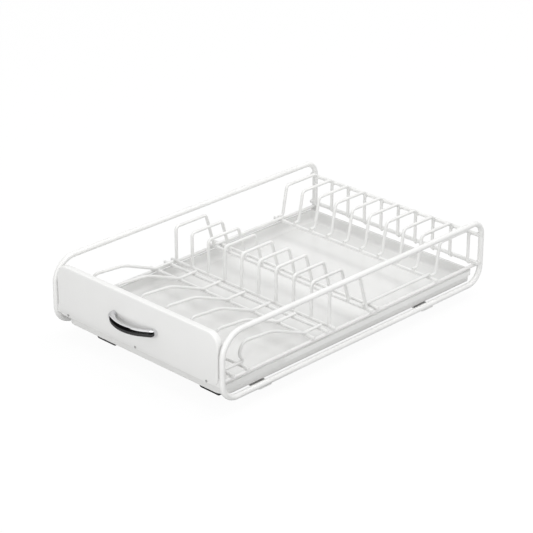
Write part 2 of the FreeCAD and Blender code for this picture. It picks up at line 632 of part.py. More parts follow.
def middle_member(label, side):
    body = new_body(label)
    outline = new_sketch(body, "outline", "XZ_Plane")
    draw_rectangle(outline, MIDDLE_HALF, MIDDLE_Z, MIDDLE_TOP, "Sizes.slide_sheet")
    pad(body, outline, "Sizes.slide_length", both_ways=True)
    hollow = new_sketch(body, "hollow", "XZ_Plane")
    draw_rectangle(hollow, f"({MIDDLE_HALF} - Sizes.slide_sheet)",
                   f"({MIDDLE_Z} + Sizes.slide_sheet)", "Sizes.slide_thick")
    pocket(body, hollow, "2 * Sizes.slide_length", both_ways=True)
    floor_holes(body, "Sizes.access_hole_d", f"({MIDDLE_Z} + 2 * Sizes.slide_sheet)",
                "4 * Sizes.slide_sheet")
    place(body, f"{side} * {SLIDE_X}", "0", "0")


def inner_member(label, side):
    body = new_body(label)
    outline = new_sketch(body, "outline", "XZ_Plane")
    draw_rectangle(outline, INNER_HALF, "Sizes.inner_rise", "Sizes.slide_thick", None,
                   "Sizes.slide_sheet")
    pad(body, outline, "Sizes.slide_length", both_ways=True)
    hollow = new_sketch(body, "hollow", "XZ_Plane")
    draw_rectangle(hollow, f"({INNER_HALF} - Sizes.slide_sheet)", "0",
                   "(Sizes.slide_thick - Sizes.slide_sheet)")
    pocket(body, hollow, "2 * Sizes.slide_length", both_ways=True)
    floor_holes(body, "Sizes.access_hole_d", "2 * Sizes.slide_thick", "2 * Sizes.slide_thick")
    screws = new_sketch(body, "screws", "XY_Plane", "2 * Sizes.slide_thick")
    for y in STRAP_YS:
        draw_circle(screws, "(Sizes.screw_d + Sizes.screw_play / 4)", "0", y)
    pocket(body, screws, "2 * Sizes.slide_thick")
    place(body, f"{side} * {SLIDE_X}", "0", "0")


for make_member, name in ((outer_member, "outer"), (middle_member, "middle"), (inner_member, "inner")):
    for word, side in (("left", -1), ("right", 1)):
        make_member(f"{word}_slide_{name}", side)


# Ball cages: a strip with a row of holes on each side of each slide, and its loose balls.
def ball_cages(label, row_x):
    parts = []
    for slide in (-1, 1):
        for side in (-1, 1):
            x = f"{slide} * {SLIDE_X} + {side} * {row_x}"
            strip = doc.addObject("Part::Box", "strip")
            bind(strip, Length="Sizes.cage_thick", Width="Sizes.cage_length",
                 Height="Sizes.cage_height")
            place(strip, f"{x} - Sizes.cage_thick / 2", "-Sizes.cage_length / 2",
                  f"{BALL_Z} - Sizes.cage_height / 2")
            holes = []
            for ball in range(BALLS):
                y = f"({ball} - {(BALLS - 1) / 2}) * Sizes.cage_length / {BALLS}"
                hole = doc.addObject("Part::Sphere", "hole")
                bind(hole, Radius="(Sizes.ball_d + Sizes.pocket_play) / 2")
                place(hole, x, y, BALL_Z)
                holes.append(hole)
                steel = doc.addObject("Part::Sphere", "ball")
                bind(steel, Radius="Sizes.ball_d / 2")
                place(steel, x, y, BALL_Z)
                parts.append(steel)
            tool = doc.addObject("Part::MultiFuse", "holes")
            tool.Shapes = holes
            cage = doc.addObject("Part::Cut", "cage")
            cage.Base = strip
            cage.Tool = tool
            parts.append(cage)
    group = doc.addObject("Part::Compound", label)
    group.Links = parts
    keep(group, label)


ball_cages("outer_ball_cages", f"({MIDDLE_HALF} + {BALL_ROW} / 2)")
ball_cages("inner_ball_cages", f"({INNER_HALF} + {BALL_ROW} / 2)")


# Drip tray: a shallow open tray with a stepped rim, on two runners that rest on the straps.
def drip_tray():
    body = new_body("drip_tray")
    half_x = f"({TUBE_X} - Sizes.tube_d / 2 - Sizes.tray_side_gap)"
    front = f"({FRONT} + Sizes.tray_set_back)"
    half_y = f"(({REAR} - Sizes.tray_rear_gap - {front}) / 2)"

    def outline(name, lift, inset):
        """Plan of the tray at a height, drawn in by an inset, with wide front corners."""
        sketch = new_sketch(body, name, "XY_Plane", lift)
        x, y, rear, front = (f"({size} - {inset})" for size in (
            half_x, half_y, "Sizes.tray_corner", "Sizes.tray_front_corner"))
        draw_rectangle(sketch, x, f"-{y}", y, front, rear)
        return sketch

    wall = "Sizes.tray_wall"
    step = "Sizes.tray_step"
    foot = "(Sizes.tray_step + Sizes.tray_draft)"
    shell = body.newObject("PartDesign::AdditiveLoft", "Shell")
    low = outline("outside_low", None, foot)
    high = outline("outside_high", "Sizes.tray_height", step)
    doc.recompute()
    shell.Profile = low
    shell.Sections = [high]
    shell.Ruled = True
    doc.recompute()
    band = new_sketch(body, "band", "XY_Plane", "(Sizes.tray_height - Sizes.tray_rim)")
    draw_rectangle(band, half_x, f"-{half_y}", half_y, "Sizes.tray_corner", "Sizes.tray_corner")
    pad(body, band, "Sizes.tray_rim")
    bottom = outline("inside_low", wall, f"({foot} + {wall})")
    top = outline("inside_high", "Sizes.tray_height", f"({step} + {wall})")
    doc.recompute()
    cavity = body.newObject("PartDesign::SubtractiveLoft", "Cavity")
    cavity.Profile = bottom
    cavity.Sections = [top]
    cavity.Ruled = True
    doc.recompute()
    for name, side in (("left_runner", -1), ("right_runner", 1)):
        runner = new_sketch(body, name, "XY_Plane")
        middle = f"{side} * ({SLIDE_X} + Sizes.runner_offset)"
        near = f"({middle} - Sizes.runner_width / 2)"
        far = f"({middle} + Sizes.runner_width / 2)"
        end = f"({half_y} - Sizes.runner_inset)"
        draw_path(runner, [(near, "0"), (near, end), (far, end), (far, f"-{end}"),
                           (near, f"-{end}"), (near, "0")])
        pad(body, runner, "Sizes.runner_height", other_way=True)
    place(body, "0", f"{front} + {half_y}", TRAY_Z)


drip_tray()


# Check every object, then write each sub-part to a file of its own name.
doc.recompute()
for thing in doc.Objects:
    if "Invalid" in thing.State or "Error" in thing.State:
        raise RuntimeError(f"{thing.Name} ({thing.Label}) failed: {thing.State}")
names = [piece.Label for piece in pieces]
if len(set(names)) != len(names):
    raise RuntimeError("two sub-parts share a name")
for piece in pieces:
    if piece.Shape.isNull() or not piece.Shape.isValid() or not piece.Shape.Solids:
        raise RuntimeError(f"{piece.Label} has no valid solid")
os.makedirs("parts", exist_ok=True)
for piece in pieces:
    piece.Shape.exportStep(f"parts/{piece.Label}.step")
print(len(pieces), "sub-parts")
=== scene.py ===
import math
import bpy
from mathutils import Matrix, Vector


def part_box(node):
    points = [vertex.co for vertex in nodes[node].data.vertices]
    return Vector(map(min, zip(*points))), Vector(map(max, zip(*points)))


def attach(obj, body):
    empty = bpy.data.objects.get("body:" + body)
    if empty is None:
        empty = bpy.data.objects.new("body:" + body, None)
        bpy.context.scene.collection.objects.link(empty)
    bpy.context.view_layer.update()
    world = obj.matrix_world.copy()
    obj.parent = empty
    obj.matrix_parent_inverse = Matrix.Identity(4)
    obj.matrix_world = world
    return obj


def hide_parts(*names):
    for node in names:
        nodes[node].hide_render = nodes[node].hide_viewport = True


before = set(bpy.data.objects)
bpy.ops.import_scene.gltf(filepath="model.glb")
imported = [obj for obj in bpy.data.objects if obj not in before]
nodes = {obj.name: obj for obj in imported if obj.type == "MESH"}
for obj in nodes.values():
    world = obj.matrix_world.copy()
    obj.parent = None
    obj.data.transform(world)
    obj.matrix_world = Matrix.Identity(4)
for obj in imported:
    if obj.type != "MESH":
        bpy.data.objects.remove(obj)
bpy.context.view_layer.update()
scene = bpy.context.scene

# Camera: a long lens in front of the rack's right corner, looking down at it. The angles and the
# distance come from the straight edges of the rack in the reference view.
CAMERA_TURN = 44.44
CAMERA_RISE = 24.72
CAMERA_ROLL = 0.10
CAMERA_FOCAL = 3.7413          # focal length over the picture's width
CAMERA_REACH = 2.430
AIM_ACROSS = 0.01250           # where the aimed point lands, right of the picture's middle
AIM_DOWN = 0.00850

loop_low, loop_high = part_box("right_side_loop")
tube = loop_high.x - loop_low.x
aimed = Vector((0, (loop_low.y + loop_high.y) / 2, (loop_low.z + loop_high.z) / 2))
turned = (Matrix.Rotation(math.radians(CAMERA_TURN), 4, "Z")
          @ Matrix.Rotation(math.radians(90 - CAMERA_RISE), 4, "X")
          @ Matrix.Rotation(math.radians(CAMERA_ROLL), 4, "Z"))
step_back = CAMERA_REACH / CAMERA_FOCAL
offset = Vector((-AIM_ACROSS * step_back, AIM_DOWN * step_back, CAMERA_REACH))
lens = bpy.data.cameras.new("camera")
lens.sensor_width = 36
lens.lens = CAMERA_FOCAL * lens.sensor_width
lens.clip_end = 30
camera = bpy.data.objects.new("camera", lens)
camera.matrix_world = Matrix.Translation(aimed + turned.to_3x3() @ offset) @ turned
scene.collection.objects.link(camera)
scene.camera = camera
scene.view_settings.view_transform = "Standard"


# Studio: a white floor that runs to the horizon, a white surround and three soft lamps. The floor
# shows white but keeps a faint shadow. A black sheet lies before the whole front and rises in a
# curve around it. Only mirror and glass rays see it: it paints a dark reflection into the chrome
# and the other glossy surfaces, while the camera, diffuse light and shadows pass through it.
FLOOR_HALF = 6.0
FLOOR_DROP = 0.0002            # a hair under the slides, so that nothing shares its plane
FLOOR_COLOUR = 0.5             # sets how much light the rack gets back from it
FLOOR_SHADE = 0.12             # share of the floor's real light in what the camera sees
FLOOR_GLOW = 1.07              # brings the unshaded floor up to white
SURROUND = 0.62
LAMPS = (
    ("front_lamp", (0.3, -2.2, 0.65), 1.4, 20),
    ("top_lamp", (0.3, 0.5, 2.4), 2.2, 28),
    ("right_lamp", (2.2, -0.3, 0.6), 1.4, 9),
)
CLOTH_AWAY = 1.2               # from the handle's front
CLOTH_RISE = 62                # its upper edge, in degrees above the handle's level
CLOTH_TURNS = (-96, 130)       # its two ends, in degrees to the right of straight ahead
CLOTH_DROP = 0.0001            # its lying part's depth, between the rack and the floor
CLOTH_LYING = 0.001            # what is lower than this lies on the floor
# Tones of the painted reflection: black where the sheet stands, dark grey where it lies.
REFLECTION_SHADES = (("reflected_black", 0.008), ("reflected_grey", 0.06))    # standing and lying part


def shown_rays(tree):
    """One where the camera, a mirror or glass looks at the surface itself."""
    path = tree.nodes.new("ShaderNodeLightPath")
    most = path.outputs["Is Camera Ray"]
    for name in ("Is Glossy Ray", "Is Transmission Ray"):
        either = tree.nodes.new("ShaderNodeMath")
        either.operation = "MAXIMUM"
        tree.links.new(most, either.inputs[0])
        tree.links.new(path.outputs[name], either.inputs[1])
        most = either.outputs[0]
    return most


def apply_place(piece):
    """Put a piece's place, turn and scale into its mesh."""
    bpy.ops.object.select_all(action="DESELECT")
    piece.select_set(True)
    bpy.context.view_layer.objects.active = piece
    bpy.ops.object.transform_apply(location=True, rotation=True, scale=True)


def edit(piece):
    """Open a piece in edit mode, by its corners, with nothing selected."""
    bpy.ops.object.select_all(action="DESELECT")
    bpy.context.view_layer.objects.active = piece
    piece.select_set(True)
    bpy.ops.object.mode_set(mode="EDIT")
    bpy.ops.mesh.select_mode(type="VERT")
    bpy.ops.mesh.select_all(action="DESELECT")


def pick(piece, wanted, kind="verts"):
    """Select in edit mode what the test says yes to, by its middle and its normal or run."""
    bpy.ops.mesh.select_all(action="DESELECT")
    bpy.ops.object.mode_set(mode="OBJECT")
    mesh = piece.data
    if kind == "verts":
        for vertex in mesh.vertices:
            vertex.select = wanted(vertex.co, vertex.normal)
    elif kind == "edges":
        for edge in mesh.edges:
            a, b = (mesh.vertices[i].co for i in edge.vertices)
            edge.select = wanted((a + b) / 2, b - a)
    else:
        for face in mesh.polygons:
            face.select = wanted(face.center, face.normal)
    bpy.ops.object.mode_set(mode="EDIT")


bpy.ops.mesh.primitive_plane_add(size=2 * FLOOR_HALF, location=(0, 0, -FLOOR_DROP))
floor = bpy.context.object
floor.name = "floor"
floor_paint = bpy.data.materials.new("white_floor")
floor_paint.use_nodes = True
tree = floor_paint.node_tree
matt = tree.nodes["Principled BSDF"]
matt.inputs["Base Color"].default_value = (FLOOR_COLOUR, FLOOR_COLOUR, FLOOR_COLOUR, 1)
matt.inputs["Roughness"].default_value = 0.9
matt.inputs["Specular IOR Level"].default_value = 0
glow = tree.nodes.new("ShaderNodeEmission")
glow.inputs["Strength"].default_value = FLOOR_GLOW
share = tree.nodes.new("ShaderNodeMath")
share.operation = "MULTIPLY"
share.inputs[1].default_value = 1 - FLOOR_SHADE
mix = tree.nodes.new("ShaderNodeMixShader")
tree.links.new(shown_rays(tree), share.inputs[0])
tree.links.new(share.outputs[0], mix.inputs["Fac"])
tree.links.new(matt.outputs[0], mix.inputs[1])
tree.links.new(glow.outputs[0], mix.inputs[2])
tree.links.new(mix.outputs[0], tree.nodes["Material Output"].inputs["Surface"])
floor.data.materials.append(floor_paint)

world = bpy.data.worlds.new("surround")
scene.world = world
world.use_nodes = True
tree = world.node_tree
level = tree.nodes.new("ShaderNodeMapRange")
level.inputs["To Min"].default_value = SURROUND
level.inputs["To Max"].default_value = 1
tree.links.new(shown_rays(tree), level.inputs["Value"])
tree.nodes["Background"].inputs["Color"].default_value = (1, 1, 1, 1)
tree.links.new(level.outputs[0], tree.nodes["Background"].inputs["Strength"])

grip_low, grip_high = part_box("pull_handle")
grip = Vector((0, grip_high.y, (grip_low.z + grip_high.z) / 2))


def past_cloth(co, normal):
    """Yes to the sphere's faces beyond the cloth's two ends or above its upper edge."""
    away = co - grip
    turn = math.degrees(math.atan2(away.x, -away.y))
    rise = math.degrees(math.asin(min(away.z / CLOTH_AWAY, 1)))
    return not CLOTH_TURNS[0] < turn < CLOTH_TURNS[1] or rise > CLOTH_RISE


bpy.ops.mesh.primitive_uv_sphere_add(segments=72, ring_count=36, radius=CLOTH_AWAY, location=grip)
cloth = bpy.context.object
cloth.name = "mirror_only_sheet"
apply_place(cloth)
edit(cloth)
bpy.ops.mesh.select_mode(type="FACE")
pick(cloth, past_cloth, "faces")
bpy.ops.mesh.delete(type="FACE")
bpy.ops.mesh.select_mode(type="VERT")
pick(cloth, lambda co, normal: co.z < 0)
bpy.ops.transform.resize(value=(1, 1, 0.00001), center_override=(0, 0, -CLOTH_DROP))
bpy.ops.object.mode_set(mode="OBJECT")
for name, shade in REFLECTION_SHADES:
    weave = bpy.data.materials.new(name)
    weave.use_nodes = True
    surface = weave.node_tree.nodes["Principled BSDF"]
    surface.inputs["Base Color"].default_value = (shade, shade, shade, 1)
    surface.inputs["Roughness"].default_value = 1
    surface.inputs["Specular IOR Level"].default_value = 0
    cloth.data.materials.append(weave)
for face in cloth.data.polygons:
    face.material_index = 1 if face.center.z < CLOTH_LYING else 0
# Only mirror and glass rays see the sheet, so it is a painted dark reflection that casts no shadow and
# gives no bounce.
cloth.visible_camera = False
cloth.visible_diffuse = False
cloth.visible_shadow = False

for name, spot, width, power in LAMPS:
    shape = bpy.data.lights.new(name, "AREA")
    shape.shape = "DISK"
    shape.size = width
    shape.energy = power
    lamp = bpy.data.objects.new(name, shape)
    lamp.location = spot
    lamp.rotation_euler = (aimed - Vector(spot)).to_track_quat("-Z", "Y").to_euler()
    scene.collection.objects.link(lamp)


# White powder coat on the rods, wires, straps and bar: baked on, a little uneven in gloss, with
# a fine orange peel. The wires' coat is thicker and a little softer than the rods'.
PEEL_HEIGHT = 0.0002
LACQUER_DULL = 0.12


def coat_texture():
    """Node group: a coat's colour, roughness and height, uneven in broad clouds and fine peel."""
    group = bpy.data.node_groups.new("coat_texture", "ShaderNodeTree")
    for way, kind, sockets in (("INPUT", "NodeSocketColor", ("Colour", "Shade")),
                               ("INPUT", "NodeSocketFloat", ("Clouds", "Peel", "Gloss", "Dull")),
                               ("OUTPUT", "NodeSocketColor", ("Colour",)),
                               ("OUTPUT", "NodeSocketFloat", ("Roughness", "Height"))):
        for socket in sockets:
            group.interface.new_socket(name=socket, in_out=way, socket_type=kind)
    inside = group.nodes.new("NodeGroupInput")
    outside = group.nodes.new("NodeGroupOutput")
    place = group.nodes.new("ShaderNodeTexCoord")
    clouds = group.nodes.new("ShaderNodeTexNoise")
    clouds.inputs["Detail"].default_value = 4
    peel = group.nodes.new("ShaderNodeTexNoise")
    peel.inputs["Detail"].default_value = 2
    for noise, name in ((clouds, "Clouds"), (peel, "Peel")):
        group.links.new(place.outputs["Object"], noise.inputs["Vector"])
        group.links.new(inside.outputs[name], noise.inputs["Scale"])
    spread = group.nodes.new("ShaderNodeMapRange")
    spread.inputs["From Min"].default_value = 0.35
    spread.inputs["From Max"].default_value = 0.7
    group.links.new(clouds.outputs["Fac"], spread.inputs["Value"])
    tint = group.nodes.new("ShaderNodeMix")
    tint.data_type = "RGBA"
    group.links.new(spread.outputs[0], tint.inputs["Factor"])
    group.links.new(inside.outputs["Colour"], tint.inputs["A"])
    group.links.new(inside.outputs["Shade"], tint.inputs["B"])
    rough = group.nodes.new("ShaderNodeMapRange")
    group.links.new(clouds.outputs["Fac"], rough.inputs["Value"])
    group.links.new(inside.outputs["Gloss"], rough.inputs["To Min"])
    group.links.new(inside.outputs["Dull"], rough.inputs["To Max"])
    group.links.new(tint.outputs["Result"], outside.inputs["Colour"])
    group.links.new(rough.outputs[0], outside.inputs["Roughness"])
    group.links.new(peel.outputs["Fac"], outside.inputs["Height"])
    return group


def coated(name, colour, shade, clouds, peel, gloss, dull, bump, metallic=0.0, coat=0.0):
    """Material whose colour, gloss and fine relief come from the coat's texture."""
    material = bpy.data.materials.new(name)
    material.use_nodes = True
    tree = material.node_tree
    surface = tree.nodes["Principled BSDF"]
    surface.inputs["Metallic"].default_value = metallic
    surface.inputs["Coat Weight"].default_value = coat
    surface.inputs["Coat Roughness"].default_value = LACQUER_DULL
    texture = tree.nodes.new("ShaderNodeGroup")
    texture.node_tree = coat_group
    texture.inputs["Colour"].default_value = (*colour, 1)
    texture.inputs["Shade"].default_value = (*shade, 1)
    texture.inputs["Clouds"].default_value = clouds
    texture.inputs["Peel"].default_value = peel
    texture.inputs["Gloss"].default_value = gloss
    texture.inputs["Dull"].default_value = dull
    relief = tree.nodes.new("ShaderNodeBump")
    relief.inputs["Strength"].default_value = bump
    relief.inputs["Distance"].default_value = PEEL_HEIGHT
    tree.links.new(texture.outputs["Colour"], surface.inputs["Base Color"])
    tree.links.new(texture.outputs["Roughness"], surface.inputs["Roughness"])
    tree.links.new(texture.outputs["Height"], relief.inputs["Height"])
    tree.links.new(relief.outputs["Normal"], surface.inputs["Normal"])
    return material


def finish_with(names, material):
    """Give nodes that keep their CAD shape their material."""
    for name in names:
        slots = nodes[name].data.materials
        slots.clear()
        slots.append(material)


coat_group = coat_texture()
tube_white = coated("tube_white", (0.86, 0.86, 0.85), (0.81, 0.81, 0.80), 22, 1100, 0.26, 0.4, 0.12)
wire_white = coated("wire_white", (0.84, 0.84, 0.83), (0.79, 0.79, 0.78), 40, 1300, 0.3, 0.46, 0.15)
finish_with(("left_side_loop", "right_side_loop"), tube_white)
cross_wires = ("front_cross_wire", "bowl_rail_front", "bowl_rail_middle", "bowl_rail_rear",
               "plate_rail_front", "plate_rail_second", "plate_rail_third", "plate_rail_rear")
side_wires = ("left_side_wire", "right_side_wire")
edge_wires = ("left_edge_wire", "right_edge_wire")
rear_rails = ("rear_bottom_rail", "rear_top_rail")
front_dividers = sorted(name for name in nodes if name.startswith("front_divider"))
rear_dividers = sorted(name for name in nodes if name.startswith("rear_divider"))
arches = sorted(name for name in nodes if name.startswith("bowl_arch"))
finish_with((*cross_wires, *side_wires, *edge_wires, *rear_rails, *front_dividers,
             *rear_dividers, *arches, "front_strap", "rear_strap", "panel_bar"), wire_white)


# Resistance welds: where two wires cross, the hot wires sink into each other and push out a low
# collar, which the coat then rounds off.
WELD_RISE = 0.0011
WELD_SPREAD = 0.0007
BEAD_RINGS = ((0.45, 0.92), (0.8, 0.72), (0.97, 0.4))    # height and width, as shares of the bead's


def middle(name):
    """Middle of a node's box."""
    low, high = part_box(name)
    return (low + high) / 2


def weld_spots():
    """Every contact between wires, as (place, half sizes)."""
    wire = (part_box("front_cross_wire")[1].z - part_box("front_cross_wire")[0].z) / 2
    thin = (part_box("left_edge_wire")[1].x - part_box("left_edge_wire")[0].x) / 2
    rail = (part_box("rear_top_rail")[1].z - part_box("rear_top_rail")[0].z) / 2
    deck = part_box("front_cross_wire")[1].z
    flat = (wire + WELD_SPREAD, wire + WELD_SPREAD, WELD_RISE)
    rear_tube = middle("right_side_loop").y + (loop_high.y - loop_low.y) / 2 - tube / 2
    spots = []
    for side in side_wires:
        x = middle(side).x
        for name in (*cross_wires, "rear_bottom_rail"):
            spots.append(((x, middle(name).y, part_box(name)[0].z), flat))
        inner = math.copysign(abs(x) + wire, x)
        spots.append(((inner, rear_tube, middle(side).z), (WELD_RISE, tube / 2, wire + WELD_SPREAD)))
    for name in front_dividers:
        x = middle(name).x
        spots.append(((x, middle("plate_rail_front").y, deck), flat))
        spots.append(((x, middle("plate_rail_second").y, deck), flat))
    for name in rear_dividers:
        x = middle(name).x
        spots.append(((x, middle("plate_rail_rear").y, deck), flat))
        for rail_name in rear_rails:
            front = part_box(rail_name)[0].y
            size = (wire + WELD_SPREAD, WELD_RISE, rail + WELD_SPREAD)
            spots.append(((x, front, middle(rail_name).z), size))
    for name in arches:
        for rail_name in ("front_cross_wire", "bowl_rail_front", "bowl_rail_middle", "bowl_rail_rear"):
            spots.append(((middle(name).x, middle(rail_name).y, deck), flat))
    for name in edge_wires:
        for rail_name in ("plate_rail_second", "plate_rail_third", "plate_rail_rear"):
            size = (thin + WELD_SPREAD, wire + WELD_SPREAD, WELD_RISE)
            spots.append(((middle(name).x, middle(rail_name).y, deck), size))
    for name in rear_rails:
        for x in (middle("left_side_loop").x, middle("right_side_loop").x):
            size = (tube / 2, WELD_RISE, rail + WELD_SPREAD)
            spots.append(((x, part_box(name)[1].y, middle(name).z), size))
    return spots


def modifier(piece, kind, **settings):
    """Add a modifier with its settings and apply it."""
    if bpy.context.object and bpy.context.object.mode == "EDIT":
        bpy.ops.object.mode_set(mode="OBJECT")
    bpy.context.view_layer.objects.active = piece
    change = piece.modifiers.new(kind.lower(), kind)
    for key, value in settings.items():
        setattr(change, key, value)
    bpy.ops.object.modifier_apply(modifier=change.name)


def copy_of(piece, name):
    """Second object with a mesh of its own."""
    twin = piece.copy()
    twin.data = piece.data.copy()
    twin.name = name
    scene.collection.objects.link(twin)
    return twin


def join(pieces, name):
    """One object of several, with the place of each in its mesh."""
    bpy.ops.object.select_all(action="DESELECT")
    for piece in pieces:
        piece.select_set(True)
    bpy.context.view_layer.objects.active = pieces[0]
    bpy.ops.object.transform_apply(location=True, rotation=True, scale=True)
    bpy.ops.object.join()
    whole = bpy.context.object
    whole.name = name
    whole.data.name = name
    return whole


def settle(piece, body, slot, material, *replaced):
    """Give a finished piece its material and the body it rides on; slot is not used."""
    piece.data.materials.clear()
    piece.data.materials.append(material)
    if replaced:
        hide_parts(*replaced)
    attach(piece, body)


bpy.ops.mesh.primitive_circle_add(vertices=12, radius=1, location=(0, 0, 0))
bead = bpy.context.object
edit(bead)
bpy.ops.mesh.select_all(action="SELECT")
at, width = 0.0, 1.0
for rise, share in BEAD_RINGS:
    bpy.ops.mesh.extrude_edges_move(TRANSFORM_OT_translate={"value": (0, 0, rise - at)})
    bpy.ops.transform.resize(value=(share / width, share / width, 1), center_override=(0, 0, rise))
    at, width = rise, share
bpy.ops.mesh.edge_face_add()
modifier(bead, "MIRROR", use_axis=(False, False, True), merge_threshold=0.001)
bpy.ops.object.shade_smooth()
beads = []
for index, (spot, size) in enumerate(weld_spots()):
    one = copy_of(bead, f"bead_{index}")
    one.location = spot
    one.scale = size
    beads.append(one)
bpy.data.objects.remove(bead)
welds = join(beads, "wire_welds")
settle(welds, "rack", "white_paint_wire", wire_white)


# Front panel: one steel sheet, cut with round corners, its upper and side edges folded back to
# a rim, and coated white. The handle and three rivets go through it.
PANEL_SHEET = 0.0012
PANEL_RIM_LOW = 0.0457         # lower ends of the folded rim above the cabinet floor
PANEL_TOP_ROUND = 0.016
PANEL_LOW_ROUND = 0.010
PANEL_FOLD = 0.0016
PANEL_RIM_BACK = 0.001         # the rim's faces have their middle further back than this
PANEL_EDGE = 0.0003
SAME_PLACE = 0.0001            # lengths closer than this count as equal
low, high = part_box("front_panel")


def near(a, b):
    return abs(a - b) < SAME_PLACE


bpy.ops.mesh.primitive_plane_add(
    size=1, location=((low.x + high.x) / 2, low.y, (low.z + high.z) / 2),
    rotation=(math.radians(90), 0, 0))
panel = bpy.context.object
panel.name = "panel_sheet"
panel.scale = (high.x - low.x, high.z - low.z, 1)
apply_place(panel)
edit(panel)
pick(panel, lambda co, normal: near(co.z, high.z))
bpy.ops.mesh.bevel(offset=PANEL_TOP_ROUND, segments=12, affect="VERTICES")
pick(panel, lambda co, normal: near(co.z, low.z))
bpy.ops.mesh.bevel(offset=PANEL_LOW_ROUND, segments=10, affect="VERTICES")
bpy.ops.mesh.select_mode(type="EDGE")
bpy.ops.mesh.select_all(action="SELECT")
bpy.ops.mesh.extrude_edges_move(TRANSFORM_OT_translate={"value": (0, high.y - low.y, 0)})
bpy.ops.mesh.select_mode(type="FACE")
pick(panel, lambda co, normal: co.y > low.y + PANEL_RIM_BACK, "faces")
bpy.ops.mesh.bisect(plane_co=(0, 0, PANEL_RIM_LOW), plane_no=(0, 0, 1))
pick(panel, lambda co, normal: co.y > low.y + PANEL_RIM_BACK and co.z < PANEL_RIM_LOW, "faces")
bpy.ops.mesh.delete(type="FACE")
bpy.ops.mesh.select_all(action="SELECT")
bpy.ops.mesh.normals_make_consistent(inside=False)
bpy.ops.mesh.select_mode(type="EDGE")
pick(panel, lambda co, along: near(co.y, low.y) and co.z > PANEL_RIM_LOW and near(along.y, 0),
     "edges")
bpy.ops.mesh.bevel(offset=PANEL_FOLD, segments=4, affect="EDGES", clamp_overlap=False)
bpy.ops.object.mode_set(mode="OBJECT")
if sum(face.normal.y * face.area for face in panel.data.polygons if near(face.center.y, low.y)) > 0:
    panel.data.flip_normals()
modifier(panel, "SOLIDIFY", thickness=PANEL_SHEET, offset=-1, use_even_offset=True)
modifier(panel, "BEVEL", width=PANEL_EDGE, segments=2, limit_method="ANGLE",
         angle_limit=math.radians(50))
bpy.ops.object.shade_smooth_by_angle(angle=math.radians(35))
panel_white = coated("panel_white", (0.83, 0.83, 0.82), (0.81, 0.81, 0.80), 9, 700, 0.3, 0.4, 0.05)
settle(panel, "rack", "white_paint_sheet", panel_white, "front_panel")


# Rivets and screws: the rivets' low heads are a mid grey, darker than the panel around them; the
# screws are zinc-plated steel.
rivet_grey = coated("rivet_grey", (0.42, 0.42, 0.41), (0.33, 0.33, 0.32), 300, 1500, 0.35, 0.5, 0.1)
screw_zinc = coated("screw_zinc", (0.62, 0.62, 0.63), (0.5, 0.5, 0.52), 160, 1800, 0.22, 0.42, 0.1,
                    metallic=1.0)
finish_with(("panel_rivets",), rivet_grey)
finish_with(("handle_screws", "strap_screws"), screw_zinc)


# Pull handle: a round zinc bar bent to a bow, its short feet flat on the panel, and bright chrome
# all over. Two screws hold it from behind the panel.
HANDLE_ROUND = 0.006           # tight bends at the feet, along the bar's middle
HANDLE_SWEEP = 0.048           # long bend between them
HANDLE_FOOT = 0.0045           # where foot and slanting run would cross, out from the panel
HANDLE_REACH = 0.027           # where the two slanting runs would cross, out from the panel
low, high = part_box("pull_handle")
bar = (high.z - low.z) / 2
face_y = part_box("front_panel")[0].y
foot_x = low.x + bar
level_z = (low.z + high.z) / 2
lean = math.atan2(HANDLE_REACH - HANDLE_FOOT, abs(foot_x))
turn = math.pi / 2 - lean
tangent = HANDLE_ROUND * math.tan(turn / 2)
bpy.ops.mesh.primitive_circle_add(vertices=32, radius=bar, location=(foot_x, face_y, level_z),
                                  rotation=(math.radians(90), 0, 0))
handle = bpy.context.object
handle.name = "bow_handle"
apply_place(handle)
edit(handle)
bpy.ops.mesh.select_all(action="SELECT")
straight = HANDLE_FOOT - tangent
bpy.ops.mesh.extrude_edges_move(TRANSFORM_OT_translate={"value": (0, -straight, 0)})
bpy.ops.mesh.spin(steps=10, angle=turn, center=(foot_x + HANDLE_ROUND, face_y - straight, level_z),
                  axis=(0, 0, -1))
run = math.hypot(foot_x, HANDLE_REACH - HANDLE_FOOT)
sweep_tangent = HANDLE_SWEEP * math.tan(lean)
ahead = Vector((math.cos(lean), -math.sin(lean), 0))
bpy.ops.mesh.extrude_edges_move(
    TRANSFORM_OT_translate={"value": ahead * (run - tangent - sweep_tangent)})
centre_y = face_y - HANDLE_REACH + HANDLE_SWEEP / math.cos(lean)
bpy.ops.mesh.spin(steps=10, angle=lean, center=(0, centre_y, level_z), axis=(0, 0, -1))
bpy.ops.object.mode_set(mode="OBJECT")
modifier(handle, "MIRROR", use_clip=True, merge_threshold=0.0002)
edit(handle)
bpy.ops.mesh.select_all(action="SELECT")
bpy.ops.mesh.remove_doubles(threshold=0.00002)
bpy.ops.mesh.fill_holes(sides=0)
bpy.ops.mesh.select_all(action="SELECT")
bpy.ops.mesh.normals_make_consistent(inside=False)
bpy.ops.object.mode_set(mode="OBJECT")
bpy.ops.object.shade_smooth_by_angle(angle=math.radians(40))
chrome = coated("handle_chrome", (0.80, 0.80, 0.81), (0.75, 0.75, 0.77), 60, 500, 0.03, 0.07, 0.01,
                metallic=1.0)
settle(handle, "rack", "handle_chrome", chrome, "pull_handle")


# Telescopic slides: roll-formed steel with a black electrophoretic coat, and ball cages of
# bright strip with polished balls.
slide_black = coated("slide_black", (0.012, 0.012, 0.013), (0.022, 0.022, 0.024), 60, 900, 0.28, 0.42,
                     0.12)
ball_bright = coated("ball_bright", (0.66, 0.66, 0.67), (0.55, 0.55, 0.57), 300, 900, 0.12, 0.3, 0.02,
                     metallic=1.0)
finish_with([name for name in nodes if "_slide_" in name], slide_black)
finish_with(("outer_ball_cages", "inner_ball_cages"), ball_bright)


